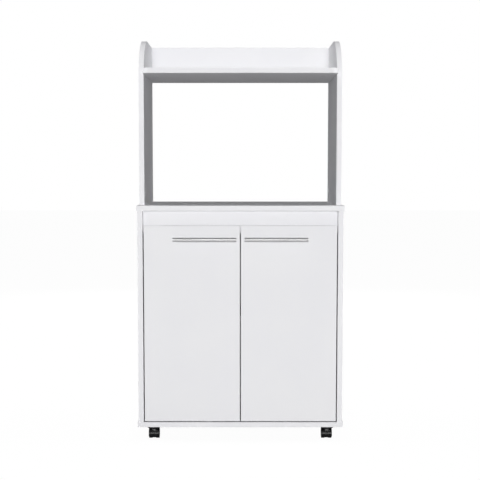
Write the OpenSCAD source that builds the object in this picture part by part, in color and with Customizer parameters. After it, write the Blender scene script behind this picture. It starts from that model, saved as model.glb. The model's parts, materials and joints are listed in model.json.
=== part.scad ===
// Microwave cart: a two-door base cabinet on casters, with an open hutch above it.
// Sizes are in millimetres. +Z is up and -Y is the front. The origin lies on the floor,
// under the middle of the whole object with its handles.
// Left and right are those of a person who stands in front of it, so left is -X.

/* [Boards] */
// Width of the worktop and of the bottom panel
worktop_w = 600; // [520:10:760]
// Depth of the worktop and of the bottom panel
worktop_d = 350; // [330:10:420]
// Thickness of every board
board_t = 15; // [15:1:18]
// How far the worktop and the bottom panel stand out past each side panel
side_overhang = 3; // [0:1:10]
// Height of the base side panels
side_h = 618; // [540:2:740]
// Height of the front rail and of the rear rail
rail_h = 65; // [60:1:80]
// Thickness of the hardboard back panel
back_t = 3; // [2.5:0.5:4]

/* [Hutch] */
// Depth of the hutch sides
hutch_d = 285; // [260:5:320]
// Clear height of the microwave bay
bay_h = 380; // [340:5:420]
// Height of the back strip above the top shelf
strip_h = 95; // [70:5:130]
// Radius of the quarter-round corner of each hutch side
hutch_corner_r = 125; // [80:5:140]
// How far the top shelf stands out in front of the hutch sides
shelf_lead = 50; // [40:1:60]
// Radius of the top shelf's front corners
shelf_corner_r = 20; // [10:1:30]

/* [Inner shelf] */
// Depth of the inner shelf
inner_shelf_d = 260; // [200:5:270]
// Clear height under the inner shelf
inner_shelf_rise = 285; // [240:5:320]
// Space between the inner shelf and the boards round it
inner_shelf_gap = 1; // [0.5:0.5:2]
// Diameter of the shelf pins
shelf_pin_d = 5; // [4:0.5:6]
// Distance from one shelf pin hole up to the next
pin_pitch = 32; // [25:1:40]

/* [Doors] */
// Gap round the doors and between them
door_gap = 3; // [3:0.5:4.5]
// How far the doors lap up over the front rail
door_lap = 22; // [18:1:30]
// Overall length of a handle bar
handle_l = 182; // [150:2:220]
// Distance between the two posts of a handle
handle_centres = 128; // [96:32:128]
// Diameter of a handle bar
handle_bar_d = 12; // [10:0.5:14]
// Diameter of a handle post
handle_post_d = 10; // [8:0.5:10]
// How far a handle stands out from its door
handle_reach = 35; // [30:1:40]
// Distance from a door's top edge down to its handle
handle_drop = 38; // [35:1:80]
// Distance from a door's free edge to the end of its handle bar
handle_inset = 10.5; // [5:0.5:40]

/* [Hinges] */
// Outside diameter of a hinge cup
cup_d = 35; // [35:0.5:36]
// Board left between a hinge cup and the door's edge
cup_edge = 4; // [3:0.5:6]
// Board left in front of a hinge cup
door_skin = 3.5; // [3:0.25:4]
// Sheet thickness of a hinge cup
cup_wall = 0.8; // [0.6:0.1:1]
// Distance between the two screws of a hinge cup
cup_screw_gap = 48; // [45:1:52]
// Distance from the hinge pin to the door's edge
pin_edge = 10; // [9.5:0.5:11]
// Diameter of a hinge pin
hinge_pin_d = 2.4; // [2:0.1:2.6]
// Outside diameter of the hinge arm's eye
arm_eye_d = 4.4; // [4:0.1:4.6]
// Sheet thickness of a hinge arm
arm_t = 2.5; // [2:0.1:3]
// Height of a hinge arm, along the pin
arm_h = 14; // [12:0.5:15]
// Distance from a door's top or bottom edge to its hinge
hinge_end = 90; // [80:5:130]
// Distance between the two screws of a mounting plate
plate_screw_gap = 32; // [28:1:36]

/* [Casters] */
// Height from the floor to the underside of the bottom panel
caster_h = 40; // [40:0.5:46]
// Diameter of a caster wheel
wheel_d = 30; // [26:0.5:30]
// Width of one caster wheel
wheel_w = 10.5; // [9:0.5:12]
// Thickness of the caster housing between its two wheels
housing_web = 9; // [9:0.5:11]
// Diameter of a caster's axle
axle_d = 4; // [3:0.5:5]
// Diameter of a caster's swivel pin
swivel_pin_d = 6; // [5:0.5:6]
// Distance from the swivel pin back to the axle
caster_trail = 8; // [7:0.5:10]
// Side of a caster's square top plate
caster_plate = 38; // [36:1:42]
// Distance between the screws of a caster plate
caster_screw_gap = 28; // [27:0.5:29]
// Distance from the swivel pin to the front or back edge of the bottom panel
caster_inset_y = 24; // [22:1:60]
// Distance from the swivel pin to the side edge of the bottom panel
caster_inset_x = 46; // [40:1:80]

/* [Fasteners] */
// Diameter of a cam lock
cam_d = 15; // [12:0.5:15]
// Depth of a cam lock
cam_depth = 12; // [11:0.25:12.5]
// Distance from a board's end to the centre of its cam lock
cam_reach = 34; // [24:1:40]
// Diameter of a wooden dowel
dowel_d = 8; // [6:0.5:8]
// Length of a wooden dowel
dowel_l = 30; // [28:1:34]
// Length of a bottom panel screw
panel_screw_l = 50; // [40:1:60]

/* [Hidden] */

$fn = 64;
over = 1;           // how far a cut runs past the face that it opens
fit = 0.05;         // radial clearance of a pin, screw or dowel in its hole
slack = 0.3;        // running gap beside a moving piece
cam_cap_t = 0.8;    // how far a cam lock's cap stands out from its board

white = [0.92, 0.92, 0.93];
hardboard = [0.86, 0.84, 0.80];
steel = [0.72, 0.73, 0.75];
zinc = [0.60, 0.61, 0.63];
beech = [0.80, 0.66, 0.45];
clear_rubber = [0.85, 0.87, 0.88];
black = [0.10, 0.10, 0.11];

// Places along Y. The handles stand out in front of the boards.
front_y = (handle_reach - worktop_d - cam_cap_t) / 2;
back_y = front_y + worktop_d;
side_back_y = back_y - back_t;

// Heights
base_z = caster_h;
floor_z = base_z + board_t;
side_top_z = floor_z + side_h;
top_z = side_top_z + board_t;
rail_z = side_top_z - rail_h;
bay_top_z = top_z + bay_h;
shelf_top_z = bay_top_z + board_t;
hutch_top_z = shelf_top_z + strip_h;
hutch_h = hutch_top_z - top_z;

// Places along X, from the middle
inner_x = worktop_w / 2 - side_overhang - board_t;
outer_x = inner_x + board_t;
panel_mid_x = inner_x + board_t / 2;

// Hinge: a cup in the door's back, with its pin near the door's edge. All lies on the
// plane of the pin, with the pin as its origin, the door's free edge towards +X and
// the inside of the cabinet towards +Y.
cup_depth = board_t - door_skin;
pin_y = door_skin + cup_wall + arm_eye_d / 2 + slack;
cup_centre_x = cup_edge + cup_d / 2 - pin_edge;
side_face_x = -pin_edge - door_gap;
door_back_y = board_t - pin_y;
swing_r = norm([pin_edge, door_back_y]);
arm_turn_x = 13;
arm_cross_y = swing_r + 2 * slack + arm_t / 2;
plate_t = 2;
plate_rib = 5.5;
arm_run_x = side_face_x + plate_t + plate_rib + arm_t / 2;
plate_y = 45;
plate_l = 36;
plate_w = 12;
arm_back_y = plate_y + plate_l / 2 - 1;
cup_flange_t = 1;
cup_flange_d = cup_d + 3;
lug_h = 2.6;
lug_gap = 1.2;
lug_w = 5;

// Doors
door_w = inner_x - 1.5 * door_gap;
door_z = floor_z + door_gap;
door_top_z = rail_z + door_lap;
door_edge_x = inner_x - door_gap;
pin_x = door_edge_x - pin_edge;
pin_world_y = front_y + pin_y;
hinge_zs = [door_z + hinge_end, door_top_z - hinge_end];
rail_clear = 1.2;
rail_recess = pin_y + swing_r + rail_clear;
rail_y = front_y + rail_recess;
rear_rail_y = side_back_y - board_t;

// Handles
handle_z = door_top_z - handle_drop;
handle_x = door_gap / 2 + handle_inset + handle_l / 2;
bar_y = front_y - handle_reach + handle_bar_d / 2;
post_spigot_d = 7;
post_spigot_l = 5;
handle_screw_d = 4;
handle_screw_bite = 12;
handle_screw_head_d = 8;
handle_screw_head_h = 2.4;

// Hutch
hutch_y = back_y - hutch_d;
strip_y = back_y - board_t;

// Inner shelf and its pins
inner_shelf_z = floor_z + inner_shelf_rise;
inner_shelf_back_y = side_back_y - inner_shelf_gap;
inner_shelf_front_y = inner_shelf_back_y - inner_shelf_d;
pin_inset_y = 45;
pin_ys = [inner_shelf_front_y + pin_inset_y, inner_shelf_back_y - pin_inset_y];
pin_flat = 0.4;      // how deep the flat on top of a pin's tongue is
pin_axis_z = inner_shelf_z - shelf_pin_d / 2 + pin_flat;
pin_hole_depth = 10;
pin_plug_l = 8;
pin_flange_d = 8;
pin_flange_t = 1;
pin_tongue_l = 9;
extra_pin_rows = 2;

// Joints between boards. Each is a row of cam locks and dowels along Y or Z.
cam_bolt_bite = 11;
cam_bolt_d = 6;
cam_thread_d = 5;
cam_head_d = 6.4;
cam_head_l = 3;
cam_neck_d = 4;
cam_neck_l = 5;
cam_hole_d = 8;
cam_slot = 1.2;
cam_cap_d = 17;
dowel_bite = 11;
dowel_chamfer = 1;
system_step = 32;
base_cam_inset = [50, 60];
foot_cam_inset = 40;
shelf_cam_inset = [50, 60];
rail_cam_drop = 20;
rail_dowel_drop = 26;
base_cam_ys = [front_y + base_cam_inset[0], back_y - base_cam_inset[1]];
base_dowel_ys = [base_cam_ys[0] + system_step, base_cam_ys[1] - system_step];
foot_cam_ys = [hutch_y + foot_cam_inset, back_y - foot_cam_inset];
foot_dowel_ys = [foot_cam_ys[0] + system_step, foot_cam_ys[1] - system_step];
shelf_cam_ys = [hutch_y + shelf_cam_inset[0], back_y - shelf_cam_inset[1]];
shelf_dowel_ys = [shelf_cam_ys[0] + system_step, shelf_cam_ys[1] - system_step];
rail_cam_z = side_top_z - rail_cam_drop;
rail_dowel_z = rail_cam_z - rail_dowel_drop;
strip_cam_z = shelf_top_z + strip_h / 3;
strip_dowel_z = shelf_top_z + 2 * strip_h / 3;

// Screws
panel_screw_inset = 60;
panel_screw_ys = [front_y + panel_screw_inset, back_y - panel_screw_inset];
panel_screw_d = 7;
panel_screw_head_d = 10;
panel_screw_head_h = 3.5;
strip_screw_d = 4;
strip_screw_l = 45;
strip_screw_head_d = 8;
strip_screw_xs = [-1, 0, 1] * (inner_x * 0.64);
wood_screw_d = 3.5;
wood_screw_l = 12;
wood_screw_head_d = 7;
wood_screw_head_h = 1.6;
nail_d = 2;
nail_l = 16;
nail_head_d = 5;
nail_head_t = 0.6;
bumper_d = 10;
bumper_x = 40;

// Casters
wheel_r = wheel_d / 2;
wheel_gap = 0.5;
caster_w = housing_web + 2 * wheel_gap + 2 * wheel_w;
plate_z = caster_h - 2;
plate_corner_r = 4;
housing_clear = 0.8;
housing_shell = 1.7;
housing_r = wheel_r + housing_clear + housing_shell;
housing_from = 75;
housing_to = 205;
neck_d = 14;
neck_top_z = plate_z - 0.6;
web_r = wheel_r - 1.2;
race_d = 28;
race_h = 5.4;
collar_d = 11;
swivel_pin_end_z = wheel_r + axle_d / 2 + 1;
caster_screw_d = 4;
caster_screw_bite = 11;
caster_screw_head_d = 7.6;
caster_screw_head_h = 2;

// ---------------------------------------------------------------- helpers

// A board between two opposite corners
module board(low, high) {
    translate(low) cube(high - low);
}

// The same thing on the right and, mirrored, on the left
module both_sides() {
    children();
    mirror([1, 0, 0]) children();
}

// A rod along +X from its own origin
module rod_x(d, l) {
    rotate([0, 90, 0]) cylinder(d = d, h = l);
}

// A rod along +Y from its own origin
module rod_y(d, l) {
    rotate([-90, 0, 0]) cylinder(d = d, h = l);
}

// Countersunk screw along +Z, its flat head's top at the origin
module flat_screw(d, l, head_d, head_h) {
    cylinder(d1 = head_d, d2 = d, h = head_h);
    cylinder(d = d, h = l);
}

// The hole that a countersunk screw sits in
module flat_screw_hole(d, l, head_d, head_h) {
    translate([0, 0, -over]) cylinder(d = head_d + 2 * fit, h = over);
    cylinder(d1 = head_d, d2 = d, h = head_h);
    cylinder(d = d + 2 * fit, h = l + fit);
}

// Screw with a round head, which stands on the plane Z = 0 while the shank runs along +Z
module round_screw(d, l, head_d, head_h) {
    translate([0, 0, -head_h]) cylinder(d1 = head_d * 0.8, d2 = head_d, h = head_h / 2);
    translate([0, 0, -head_h / 2]) cylinder(d = head_d, h = head_h / 2);
    cylinder(d = d, h = l);
}

// ---------------------------------------------------------------- board joints
// A joint's frame has its origin where the two boards meet, halfway through the first
// board. +X runs into the second board, and the cam lock opens towards +Z.

module base_top_joint(ys) {
    both_sides() for (y = ys)
        translate([panel_mid_x, y, side_top_z]) rotate([0, -90, 0]) children();
}

module hutch_foot_joint(ys) {
    both_sides() for (y = ys)
        translate([panel_mid_x, y, top_z]) rotate([0, -90, 0]) rotate([0, 0, 180]) children();
}

module front_rail_joint(z) {
    both_sides() translate([inner_x, rail_y + board_t / 2, z]) rotate([-90, 0, 0]) children();
}

module rear_rail_joint(z) {
    both_sides() translate([inner_x, rear_rail_y + board_t / 2, z]) rotate([90, 0, 0]) children();
}

module top_shelf_joint(ys) {
    both_sides() for (y = ys)
        translate([inner_x, y, bay_top_z + board_t / 2]) rotate([180, 0, 0]) children();
}

module strip_joint(z) {
    both_sides() translate([inner_x, strip_y + board_t / 2, z]) rotate([-90, 0, 0]) children();
}

module every_cam() {
    base_top_joint(base_cam_ys) children();
    front_rail_joint(rail_cam_z) children();
    rear_rail_joint(rail_cam_z) children();
    every_hutch_cam() children();
}

module every_hutch_cam() {
    hutch_foot_joint(foot_cam_ys) children();
    top_shelf_joint(shelf_cam_ys) children();
    strip_joint(strip_cam_z) children();
}

module every_dowel() {
    base_top_joint(base_dowel_ys) children();
    front_rail_joint(rail_dowel_z) children();
    rear_rail_joint(rail_dowel_z) children();
    hutch_foot_joint(foot_dowel_ys) children();
    top_shelf_joint(shelf_dowel_ys) children();
    strip_joint(strip_dowel_z) children();
}

// Cuts in the board that holds the cam lock
module cam_cut() {
    translate([-cam_reach, 0, board_t / 2 - cam_depth])
        cylinder(d = cam_d + 2 * fit, h = cam_depth + over);
    translate([-cam_reach, 0, 0]) rod_x(cam_hole_d, cam_reach + over);
}

// Cut in the board that the cam bolt is screwed into
module bolt_cut() {
    translate([-over, 0, 0]) rod_x(cam_thread_d + 2 * fit, over + cam_bolt_bite);
}

module dowel_cut() {
    translate([dowel_bite - dowel_l - slack, 0, 0])
        rod_x(dowel_d + 2 * fit, dowel_l + slack);
}

module cam_lock() {
    translate([-cam_reach, 0, board_t / 2 - cam_depth]) difference() {
        cylinder(d = cam_d, h = cam_depth);
        // mouth for the bolt's head, and the slot that its neck lies in
        translate([0, 0, cam_depth - board_t / 2]) rod_x(cam_head_d + 1, cam_d);
        // cross for the screwdriver
        for (a = [0, 90]) rotate([0, 0, a + 45])
            translate([-cam_d / 4, -cam_slot / 2, cam_depth - cam_slot])
                cube([cam_d / 2, cam_slot, cam_slot + over]);
    }
}

module cam_bolt() {
    translate([-cam_reach, 0, 0]) {
        rod_x(cam_head_d, cam_head_l);
        rod_x(cam_neck_d, cam_head_l + cam_neck_l);
        translate([cam_head_l + cam_neck_l, 0, 0])
            rod_x(cam_bolt_d, cam_reach - cam_head_l - cam_neck_l);
    }
    rod_x(cam_thread_d, cam_bolt_bite);
}

module cam_cap() {
    translate([-cam_reach, 0, board_t / 2])
        cylinder(d1 = cam_cap_d, d2 = cam_cap_d - cam_cap_t, h = cam_cap_t);
}

module dowel() {
    tip_d = dowel_d - 2 * dowel_chamfer;
    translate([dowel_bite - dowel_l, 0, 0]) rotate([0, 90, 0]) {
        cylinder(d1 = tip_d, d2 = dowel_d, h = dowel_chamfer);
        translate([0, 0, dowel_chamfer]) cylinder(d = dowel_d, h = dowel_l - 2 * dowel_chamfer);
        translate([0, 0, dowel_l - dowel_chamfer])
            cylinder(d1 = dowel_d, d2 = tip_d, h = dowel_chamfer);
    }
}

// ---------------------------------------------------------------- base boards

module worktop() {
    color(white) difference() {
        board([-worktop_w / 2, front_y, side_top_z], [worktop_w / 2, back_y, top_z]);
        base_top_joint(base_cam_ys) bolt_cut();
        base_top_joint(base_dowel_ys) dowel_cut();
        hutch_foot_joint(foot_cam_ys) bolt_cut();
        hutch_foot_joint(foot_dowel_ys) dowel_cut();
    }
}

module bottom_panel() {
    color(white) difference() {
        board([-worktop_w / 2, front_y, base_z], [worktop_w / 2, back_y, floor_z]);
        at_panel_screws() panel_screw_hole();
        at_caster_screws() cylinder(d = caster_screw_d + 2 * fit, h = caster_h - plate_z
            + caster_screw_bite + fit);
    }
}

// The right side panel. The left one is its mirror image.
module side_panel() {
    difference() {
        board([inner_x, front_y, floor_z], [outer_x, side_back_y, side_top_z]);
        base_top_joint(base_cam_ys) cam_cut();
        base_top_joint(base_dowel_ys) dowel_cut();
        front_rail_joint(rail_cam_z) bolt_cut();
        front_rail_joint(rail_dowel_z) dowel_cut();
        rear_rail_joint(rail_cam_z) bolt_cut();
        rear_rail_joint(rail_dowel_z) dowel_cut();
        at_panel_screws() panel_screw_hole();
        shelf_pin_holes();
        at_plates() plate_screw_holes();
        at_side_nails() nail_hole();
    }
}

module left_side_panel() {
    color(white) mirror([1, 0, 0]) side_panel();
}

module right_side_panel() {
    color(white) side_panel();
}

module front_rail() {
    color(white) difference() {
        board([-inner_x, rail_y, rail_z], [inner_x, rail_y + board_t, side_top_z]);
        front_rail_joint(rail_cam_z) cam_cut();
        front_rail_joint(rail_dowel_z) dowel_cut();
    }
}

module rear_rail() {
    color(white) difference() {
        board([-inner_x, rear_rail_y, rail_z], [inner_x, side_back_y, side_top_z]);
        rear_rail_joint(rail_cam_z) cam_cut();
        rear_rail_joint(rail_dowel_z) dowel_cut();
        at_rail_nails() nail_hole();
    }
}

module back_panel() {
    edge = 1;
    color(hardboard) difference() {
        board([-outer_x + edge, side_back_y, floor_z], [outer_x - edge, back_y, side_top_z]);
        at_side_nails() nail_hole();
        at_rail_nails() nail_hole();
    }
}

// Nails run from the back panel's rear face towards the front
module at_side_nails() {
    both_sides() for (t = [0.06 : 0.2 : 0.87])
        translate([panel_mid_x, back_y, floor_z + t * side_h]) rotate([90, 0, 0]) children();
}

module at_rail_nails() {
    for (x = [-1, 0, 1] * inner_x / 2)
        translate([x, back_y, side_top_z - rail_h / 2]) rotate([90, 0, 0]) children();
}

module nail_hole() {
    translate([0, 0, -over]) cylinder(d = nail_d + 2 * fit, h = nail_l + over + fit);
}

module nail() {
    cylinder(d = nail_d, h = nail_l);
    translate([0, 0, -nail_head_t]) cylinder(d = nail_head_d, h = nail_head_t);
}

module back_panel_nails() {
    color(zinc) {
        at_side_nails() nail();
        at_rail_nails() nail();
    }
}

module at_panel_screws() {
    both_sides() for (y = panel_screw_ys) translate([panel_mid_x, y, base_z]) children();
}

module panel_screw_hole() {
    flat_screw_hole(panel_screw_d, panel_screw_l, panel_screw_head_d, panel_screw_head_h);
}

module bottom_panel_screws() {
    color(zinc) at_panel_screws()
        flat_screw(panel_screw_d, panel_screw_l, panel_screw_head_d, panel_screw_head_h);
}

// ---------------------------------------------------------------- inner shelf

module inner_shelf() {
    end_x = inner_x - inner_shelf_gap;
    color(white) board([-end_x, inner_shelf_front_y, inner_shelf_z],
        [end_x, inner_shelf_back_y, inner_shelf_z + board_t]);
}

module shelf_pin_holes() {
    for (y = pin_ys, row = [-extra_pin_rows : extra_pin_rows])
        translate([inner_x - over, y, pin_axis_z + row * pin_pitch])
            rod_x(shelf_pin_d + 2 * fit, pin_hole_depth + over);
}

// A plug in the side, a thin flange against it, and a tongue under the shelf. The tongue
// and the flange are flat on top.
module shelf_pin() {
    rod_x(shelf_pin_d, pin_plug_l);
    difference() {
        union() {
            translate([-pin_flange_t, 0, 0]) rod_x(pin_flange_d, pin_flange_t);
            translate([-pin_tongue_l, 0, 0]) rod_x(shelf_pin_d, pin_tongue_l);
        }
        translate([-pin_tongue_l - over, -pin_flange_d, shelf_pin_d / 2 - pin_flat])
            cube([pin_tongue_l + over, 2 * pin_flange_d, pin_flange_d]);
    }
}

module shelf_pins() {
    color(zinc) both_sides() for (y = pin_ys)
        translate([inner_x, y, pin_axis_z]) shelf_pin();
}

// ---------------------------------------------------------------- hutch

// Outline of a hutch side, seen from its side: the front is at the left
module hutch_side_outline() {
    r = hutch_corner_r;
    square([hutch_d, hutch_h - r]);
    translate([r, 0]) square([hutch_d - r, hutch_h]);
    translate([r, hutch_h - r]) circle(r = r, $fn = 128);
}

// The right hutch side. The left one is its mirror image.
module hutch_side() {
    difference() {
        translate([inner_x, hutch_y, top_z]) rotate([90, 0, 90])
            linear_extrude(board_t) hutch_side_outline();
        hutch_foot_joint(foot_cam_ys) cam_cut();
        hutch_foot_joint(foot_dowel_ys) dowel_cut();
        top_shelf_joint(shelf_cam_ys) bolt_cut();
        top_shelf_joint(shelf_dowel_ys) dowel_cut();
        strip_joint(strip_cam_z) bolt_cut();
        strip_joint(strip_dowel_z) dowel_cut();
    }
}

module left_hutch_side() {
    color(white) mirror([1, 0, 0]) hutch_side();
}

module right_hutch_side() {
    color(white) hutch_side();
}

// Plan of the top shelf, with round front corners
module top_shelf_outline() {
    r = shelf_corner_r;
    d = hutch_d + shelf_lead;
    translate([-inner_x, r]) square([2 * inner_x, d - r]);
    translate([r - inner_x, 0]) square([2 * (inner_x - r), d]);
    for (s = [-1, 1]) translate([s * (inner_x - r), r]) circle(r = r);
}

module top_shelf() {
    color(white) difference() {
        translate([0, hutch_y - shelf_lead, bay_top_z]) linear_extrude(board_t)
            top_shelf_outline();
        top_shelf_joint(shelf_cam_ys) cam_cut();
        top_shelf_joint(shelf_dowel_ys) dowel_cut();
        at_strip_screws() strip_screw_hole();
    }
}

module back_strip() {
    color(white) difference() {
        board([-inner_x, strip_y, shelf_top_z], [inner_x, back_y, hutch_top_z]);
        strip_joint(strip_cam_z) cam_cut();
        strip_joint(strip_dowel_z) dowel_cut();
        at_strip_screws() strip_screw_hole();
    }
}

module at_strip_screws() {
    for (x = strip_screw_xs) translate([x, strip_y + board_t / 2, bay_top_z]) children();
}

module strip_screw_hole() {
    flat_screw_hole(strip_screw_d, strip_screw_l, strip_screw_head_d, strip_screw_d / 2);
}

module strip_screws() {
    color(zinc) at_strip_screws()
        flat_screw(strip_screw_d, strip_screw_l, strip_screw_head_d, strip_screw_d / 2);
}

// ---------------------------------------------------------------- board fasteners

module cam_locks() {
    color(zinc) every_cam() cam_lock();
}

module cam_bolts() {
    color(steel) every_cam() cam_bolt();
}

module cam_caps() {
    color(white) every_hutch_cam() cam_cap();
}

module dowels() {
    color(beech) every_dowel() dowel();
}

// ---------------------------------------------------------------- doors

// The right door, which is hinged at its right edge
module door() {
    free_x = door_gap / 2;
    difference() {
        board([free_x, front_y, door_z], [free_x + door_w, front_y + board_t, door_top_z]);
        at_hinges() {
            translate([-cup_centre_x, door_back_y - cup_depth, 0])
                rod_y(cup_d + 2 * fit, cup_depth + over);
            at_cup_screws() rod_y(wood_screw_d + 2 * fit, wood_screw_l + fit);
        }
        at_handle_screws() translate([0, -over, 0])
            rod_y(handle_screw_d + 2 * fit, board_t + 2 * over);
    }
}

module left_door() {
    color(white) mirror([1, 0, 0]) door();
}

module right_door() {
    color(white) door();
}

// Soft stops on the front rail, one behind each door's free corner
module door_bumpers() {
    gap = rail_recess - board_t;
    color(clear_rubber) both_sides()
        translate([bumper_x, front_y + board_t + slack, rail_z + door_lap / 2])
            rod_y(bumper_d, gap - slack);
}

// ---------------------------------------------------------------- handles

// Where the right handle's screws pass through the door's front face
module at_handle_screws() {
    for (s = [-1, 1])
        translate([handle_x + s * handle_centres / 2, front_y, handle_z]) children();
}

module handle_bar() {
    chamfer = 0.8;
    difference() {
        translate([handle_x - handle_l / 2, bar_y, handle_z]) rotate([0, 90, 0]) {
            cylinder(d1 = handle_bar_d - 2 * chamfer, d2 = handle_bar_d, h = chamfer);
            translate([0, 0, chamfer]) cylinder(d = handle_bar_d, h = handle_l - 2 * chamfer);
            translate([0, 0, handle_l - chamfer])
                cylinder(d1 = handle_bar_d, d2 = handle_bar_d - 2 * chamfer, h = chamfer);
        }
        at_handle_screws() translate([0, bar_y - front_y + handle_bar_d / 2 - post_spigot_l, 0])
            rod_y(post_spigot_d + 2 * fit, post_spigot_l + over);
    }
}

// Each post ends in a saddle that fits the bar, and in a spigot inside it
module handle_posts() {
    reach = handle_reach - handle_bar_d / 2;
    at_handle_screws() difference() {
        union() {
            difference() {
                translate([0, -reach, 0]) rod_y(handle_post_d, reach);
                translate([-handle_post_d, -reach, 0]) rod_x(handle_bar_d, 2 * handle_post_d);
            }
            translate([0, -reach + handle_bar_d / 2 - post_spigot_l + fit, 0])
                rod_y(post_spigot_d, post_spigot_l + 1);
        }
        translate([0, -handle_screw_bite - fit, 0])
            rod_y(handle_screw_d + 2 * fit, handle_screw_bite + over);
    }
}

module handle_screws() {
    at_handle_screws() translate([0, board_t, 0]) rotate([90, 0, 0])
        round_screw(handle_screw_d, board_t + handle_screw_bite,
            handle_screw_head_d, handle_screw_head_h);
}

module left_handle_bar() {
    color(steel) mirror([1, 0, 0]) handle_bar();
}

module left_handle_posts() {
    color(steel) mirror([1, 0, 0]) handle_posts();
}

module left_handle_screws() {
    color(zinc) mirror([1, 0, 0]) handle_screws();
}

module right_handle_bar() {
    color(steel) handle_bar();
}

module right_handle_posts() {
    color(steel) handle_posts();
}

module right_handle_screws() {
    color(zinc) handle_screws();
}

// ---------------------------------------------------------------- hinges

// The right door's hinges, one at each height, in the world. In this frame the origin is
// on the hinge pin, +X points to the right side panel and +Y into the cabinet.
module at_hinges() {
    for (z = hinge_zs) translate([pin_x, pin_world_y, z]) children();
}

// The same in the hinge's own frame, which is turned so that the door's free edge is at +X
module at_own_hinges() {
    at_hinges() mirror([1, 0, 0]) children();
}

module at_cup_screws() {
    for (s = [-1, 1])
        translate([-cup_centre_x, door_back_y - wood_screw_l, s * cup_screw_gap / 2]) children();
}

module at_plates() {
    at_own_hinges() translate([side_face_x, plate_y, 0]) children();
}

// A drawn steel cup with a flange on the door's back, and two lugs that hold the pin
module hinge_cup() {
    floor_y = door_back_y - cup_depth;
    ear_d = 13;
    difference() {
        union() {
            translate([cup_centre_x, floor_y, 0]) rod_y(cup_d, cup_depth);
            translate([cup_centre_x, door_back_y, 0]) {
                rod_y(cup_flange_d, cup_flange_t);
                for (s = [-1, 1]) translate([0, 0, s * cup_screw_gap / 2])
                    rod_y(ear_d, cup_flange_t);
                translate([-ear_d / 2, 0, -cup_screw_gap / 2])
                    cube([ear_d, cup_flange_t, cup_screw_gap]);
            }
        }
        difference() {
            translate([cup_centre_x, floor_y + cup_wall, 0])
                rod_y(cup_d - 2 * cup_wall, cup_depth + cup_flange_t);
            for (s = [-1, 1])
                translate([-lug_w / 2, floor_y, s * (arm_h / 2 + lug_gap + lug_h / 2) - lug_h / 2])
                    cube([lug_w, lug_w, lug_h]);
        }
        hinge_pin();
        for (s = [-1, 1]) translate([cup_centre_x, door_back_y - over, s * cup_screw_gap / 2])
            rod_y(wood_screw_d + 2 * fit, cup_flange_t + 2 * over);
    }
}

module hinge_pin() {
    half = arm_h / 2 + lug_gap + lug_h;
    translate([0, 0, -half]) cylinder(d = hinge_pin_d, h = 2 * half);
}

// One straight run of the arm's strip, between two points of its middle line
module strip_run(from, to) {
    low = [min(from[0], to[0]), min(from[1], to[1])] - [1, 1] * arm_t / 2;
    high = [max(from[0], to[0]), max(from[1], to[1])] + [1, 1] * arm_t / 2;
    translate(low) square(high - low);
}

// The arm hooks round the door's edge: it leaves the pin along the cup, turns out of the
// cup, crosses to the side panel behind the door and runs back on its mounting plate.
module hinge_arm() {
    rib_h = arm_h - 2 * 1.5;
    difference() {
        union() {
            translate([0, 0, -arm_h / 2]) linear_extrude(arm_h) {
                circle(d = arm_eye_d);
                translate([0, -arm_t / 2]) square([arm_turn_x, arm_t]);
                strip_run([arm_turn_x, 0], [arm_turn_x, arm_cross_y]);
                strip_run([arm_run_x, arm_cross_y], [arm_turn_x, arm_cross_y]);
                strip_run([arm_run_x, arm_cross_y], [arm_run_x, arm_back_y]);
            }
            // folded edges of the run that lies over the plate's rib
            for (s = [0, 1]) mirror([0, 0, s])
                translate([arm_run_x - arm_t / 2 - plate_rib / 2, arm_cross_y + arm_t, rib_h / 2])
                    cube([plate_rib / 2 + over, arm_back_y - arm_cross_y - arm_t / 2, 1.5]);
        }
        translate([0, 0, -arm_h]) cylinder(d = hinge_pin_d + 2 * fit, h = 2 * arm_h);
        translate([arm_run_x - arm_t, plate_y, 0]) rod_x(handle_screw_d + 2 * fit, 2 * arm_t);
    }
}

// Mounting plate: a cross on the side panel, with a rib that carries the arm
module hinge_plate() {
    rib_h = arm_h - 2 * 1.5 - 2 * slack;
    ear_d = plate_w;
    difference() {
        union() {
            translate([0, 0, -rib_h / 2]) translate([0, -plate_l / 2, 0])
                cube([plate_t + plate_rib, plate_l, rib_h]);
            for (s = [-1, 1]) translate([0, 0, s * plate_screw_gap / 2]) rod_x(ear_d, plate_t);
            translate([0, -ear_d / 2, -plate_screw_gap / 2]) cube([plate_t, ear_d, plate_screw_gap]);
        }
        plate_screw_holes();
        translate([plate_t, 0, 0]) rod_x(handle_screw_d + 2 * fit, plate_rib + over);
    }
}

module plate_screw_holes() {
    for (s = [-1, 1]) translate([plate_t, 0, s * plate_screw_gap / 2]) rotate([0, -90, 0])
        flat_screw_hole(wood_screw_d, wood_screw_l, wood_screw_head_d, wood_screw_head_h);
}

module hinge_plate_screws() {
    for (s = [-1, 1]) translate([plate_t, 0, s * plate_screw_gap / 2]) rotate([0, -90, 0])
        flat_screw(wood_screw_d, wood_screw_l, wood_screw_head_d, wood_screw_head_h);
    // the screw that clamps the arm on the rib
    translate([plate_t + plate_rib + arm_t, 0, 0]) rotate([0, -90, 0])
        round_screw(handle_screw_d, plate_rib + arm_t - 1, handle_screw_head_d, 1.6);
}

module cup_screw() {
    translate([0, wood_screw_l + cup_flange_t, 0]) rotate([90, 0, 0])
        round_screw(wood_screw_d, wood_screw_l + cup_flange_t, wood_screw_head_d, wood_screw_head_h);
}

module right_hinge_cups() {
    color(steel) at_own_hinges() hinge_cup();
}

module right_hinge_pins() {
    color(zinc) at_own_hinges() hinge_pin();
}

module right_cup_screws() {
    color(zinc) at_hinges() at_cup_screws() cup_screw();
}

module right_hinge_arms() {
    color(steel) at_own_hinges() hinge_arm();
}

module right_hinge_plates() {
    color(steel) at_plates() hinge_plate();
}

module left_hinge_cups() {
    mirror([1, 0, 0]) right_hinge_cups();
}

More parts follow.
